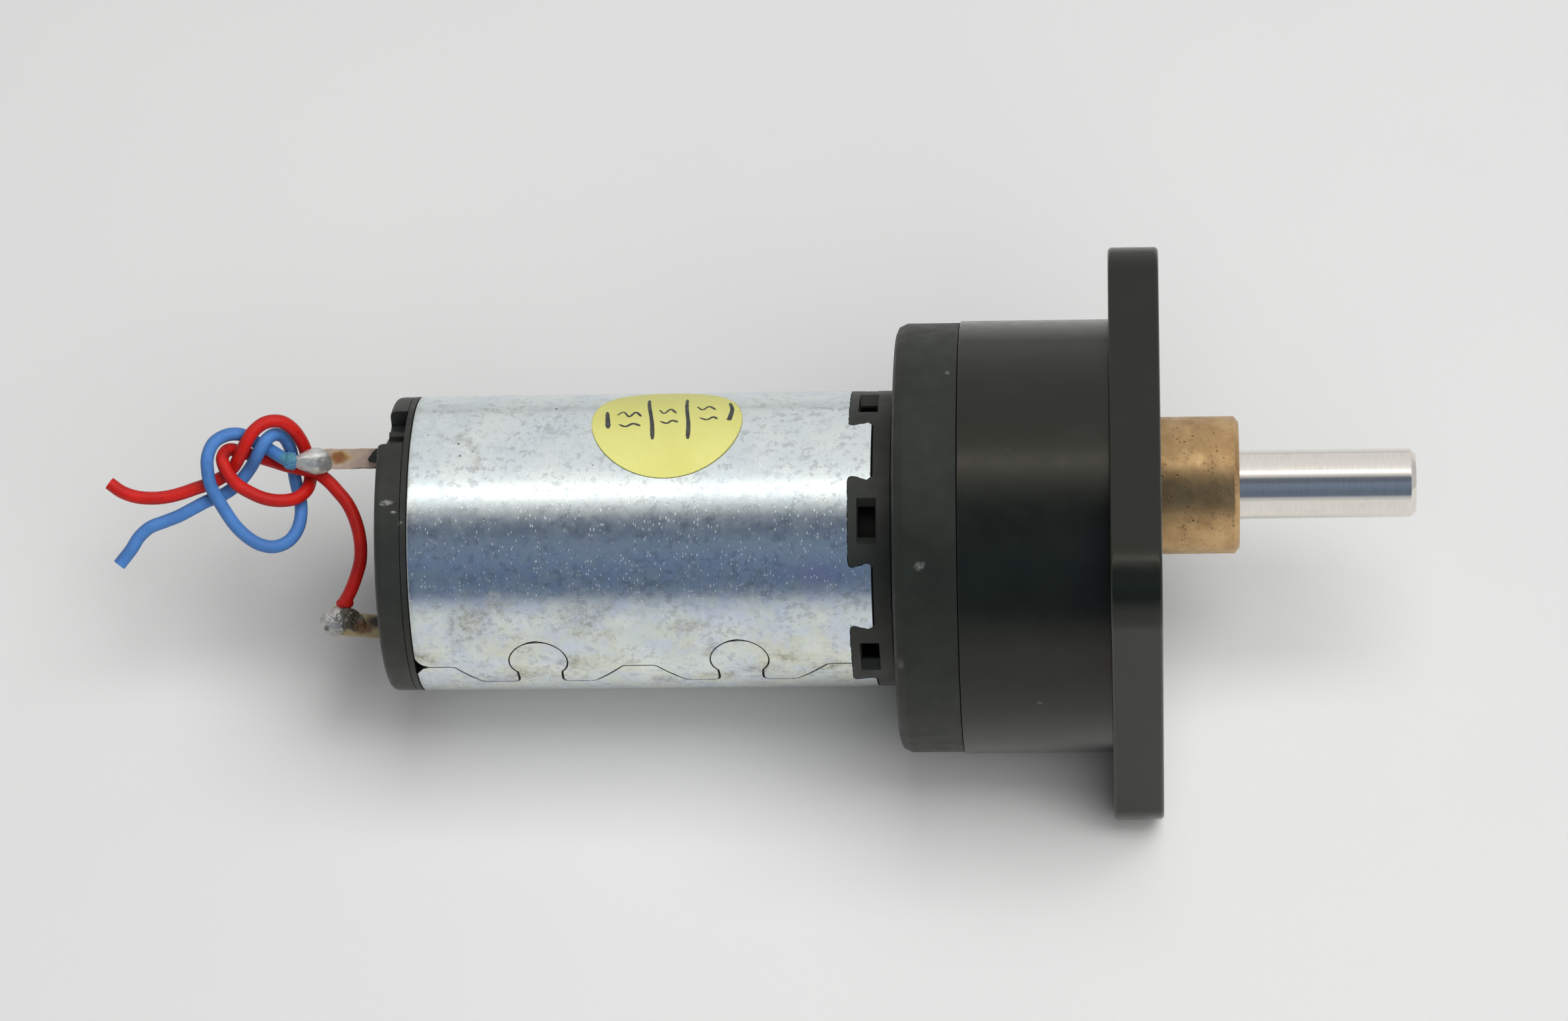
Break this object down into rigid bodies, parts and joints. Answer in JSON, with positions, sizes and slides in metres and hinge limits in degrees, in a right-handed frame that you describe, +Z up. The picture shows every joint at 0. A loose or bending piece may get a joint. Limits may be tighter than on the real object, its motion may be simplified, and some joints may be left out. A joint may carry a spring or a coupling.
{
  "type": "geared dc motor",
  "caption": "Brushed DC motor with an eccentric spur gearbox, a square mounting flange and a plain round output shaft, with two short knotted leads at the rear.",
  "frame": {"origin": "centre of the output shaft's end face, on the output shaft's axis", "axes": "+X along the output shaft toward its free end, +Z up, with the flange's lower side facing -Z; the motor axis lies 7 mm toward -Y"},
  "size_m": [0.1531, 0.0516, 0.0516],
  "materials": {
    "housing_cast": "semi-matte black grey",
    "cover_cast": "matte black grey",
    "dark_steel": "dark oxide",
    "bronze": "sintered, dull",
    "ground_steel": "ground bright",
    "brass": "plain",
    "zinc_steel": "bright zinc plated",
    "moulded_black": "satin moulded",
    "lamination": "stacked sheet",
    "enamelled_copper": "enamelled",
    "commutator_copper": "turned",
    "ferrite": "dull dark grey",
    "carbon": "graphite",
    "copper_tab": "heat tinted",
    "solder": "bright, lumpy",
    "red_insulation": "satin",
    "blue_insulation": "satin",
    "yellow_label": "paper label"
  },
  "bodies": {
    "casing": {"gearbox_housing": "housing_cast", "gearbox_cover": "cover_cast", "cover_screw_1": "dark_steel", "cover_screw_2": "dark_steel", "cover_screw_3": "dark_steel", "motor_screw_1": "dark_steel", "motor_screw_2": "dark_steel", "output_bush": "bronze", "output_washer": "brass", "gear_pin_1": "ground_steel", "gear_pin_2": "ground_steel", "stage_1_washer": "brass", "stage_2_washer": "brass", "motor_can": "zinc_steel", "front_shield": "moulded_black", "brush_plate": "moulded_black", "rear_cap": "moulded_black", "front_bearing": "bronze", "rear_bearing": "bronze", "magnet_upper": "ferrite", "magnet_lower": "ferrite", "brush_upper": "carbon", "brush_lower": "carbon", "brush_spring_upper": "brass", "brush_spring_lower": "brass", "terminal_upper": "copper_tab", "terminal_lower": "copper_tab", "solder_upper": "solder", "solder_lower": "solder", "lead_wire_red": "red_insulation", "lead_wire_blue": "blue_insulation", "can_label": "yellow_label"},
    "rotor": {"motor_shaft": "ground_steel", "rotor_core": "lamination", "rotor_windings": "enamelled_copper", "commutator": "commutator_copper", "motor_pinion": "brass"},
    "stage_1": {"stage_1_wheel": "dark_steel", "stage_1_pinion": "dark_steel"},
    "stage_2": {"stage_2_wheel": "dark_steel", "stage_2_pinion": "dark_steel"},
    "output": {"output_shaft": "ground_steel", "output_gear": "dark_steel", "output_retaining_ring": "dark_steel"}
  },
  "joints": [
    {"name": "rotor_spin", "type": "hinge", "parent": "casing", "child": "rotor", "pos_m": [-0.0896, -0.007, 0], "axis": [1, 0, 0], "continuous": true},
    {"name": "stage_1_spin", "type": "hinge", "parent": "casing", "child": "stage_1", "pos_m": [-0.0516, -0.0118, 0.01154], "axis": [1, 0, 0], "continuous": true},
    {"name": "stage_2_spin", "type": "hinge", "parent": "casing", "child": "stage_2", "pos_m": [-0.0456, -0.0182, 0], "axis": [1, 0, 0], "continuous": true},
    {"name": "output_spin", "type": "hinge", "parent": "casing", "child": "output", "pos_m": [-0.0296, 0, 0], "axis": [1, 0, 0], "continuous": true}
  ],
  "couplings": [
    {"joint": "stage_1_spin", "follows": "rotor_spin", "ratio": -0.38889},
    {"joint": "stage_2_spin", "follows": "rotor_spin", "ratio": 0.14583},
    {"joint": "output_spin", "follows": "rotor_spin", "ratio": -0.04375}
  ]
}
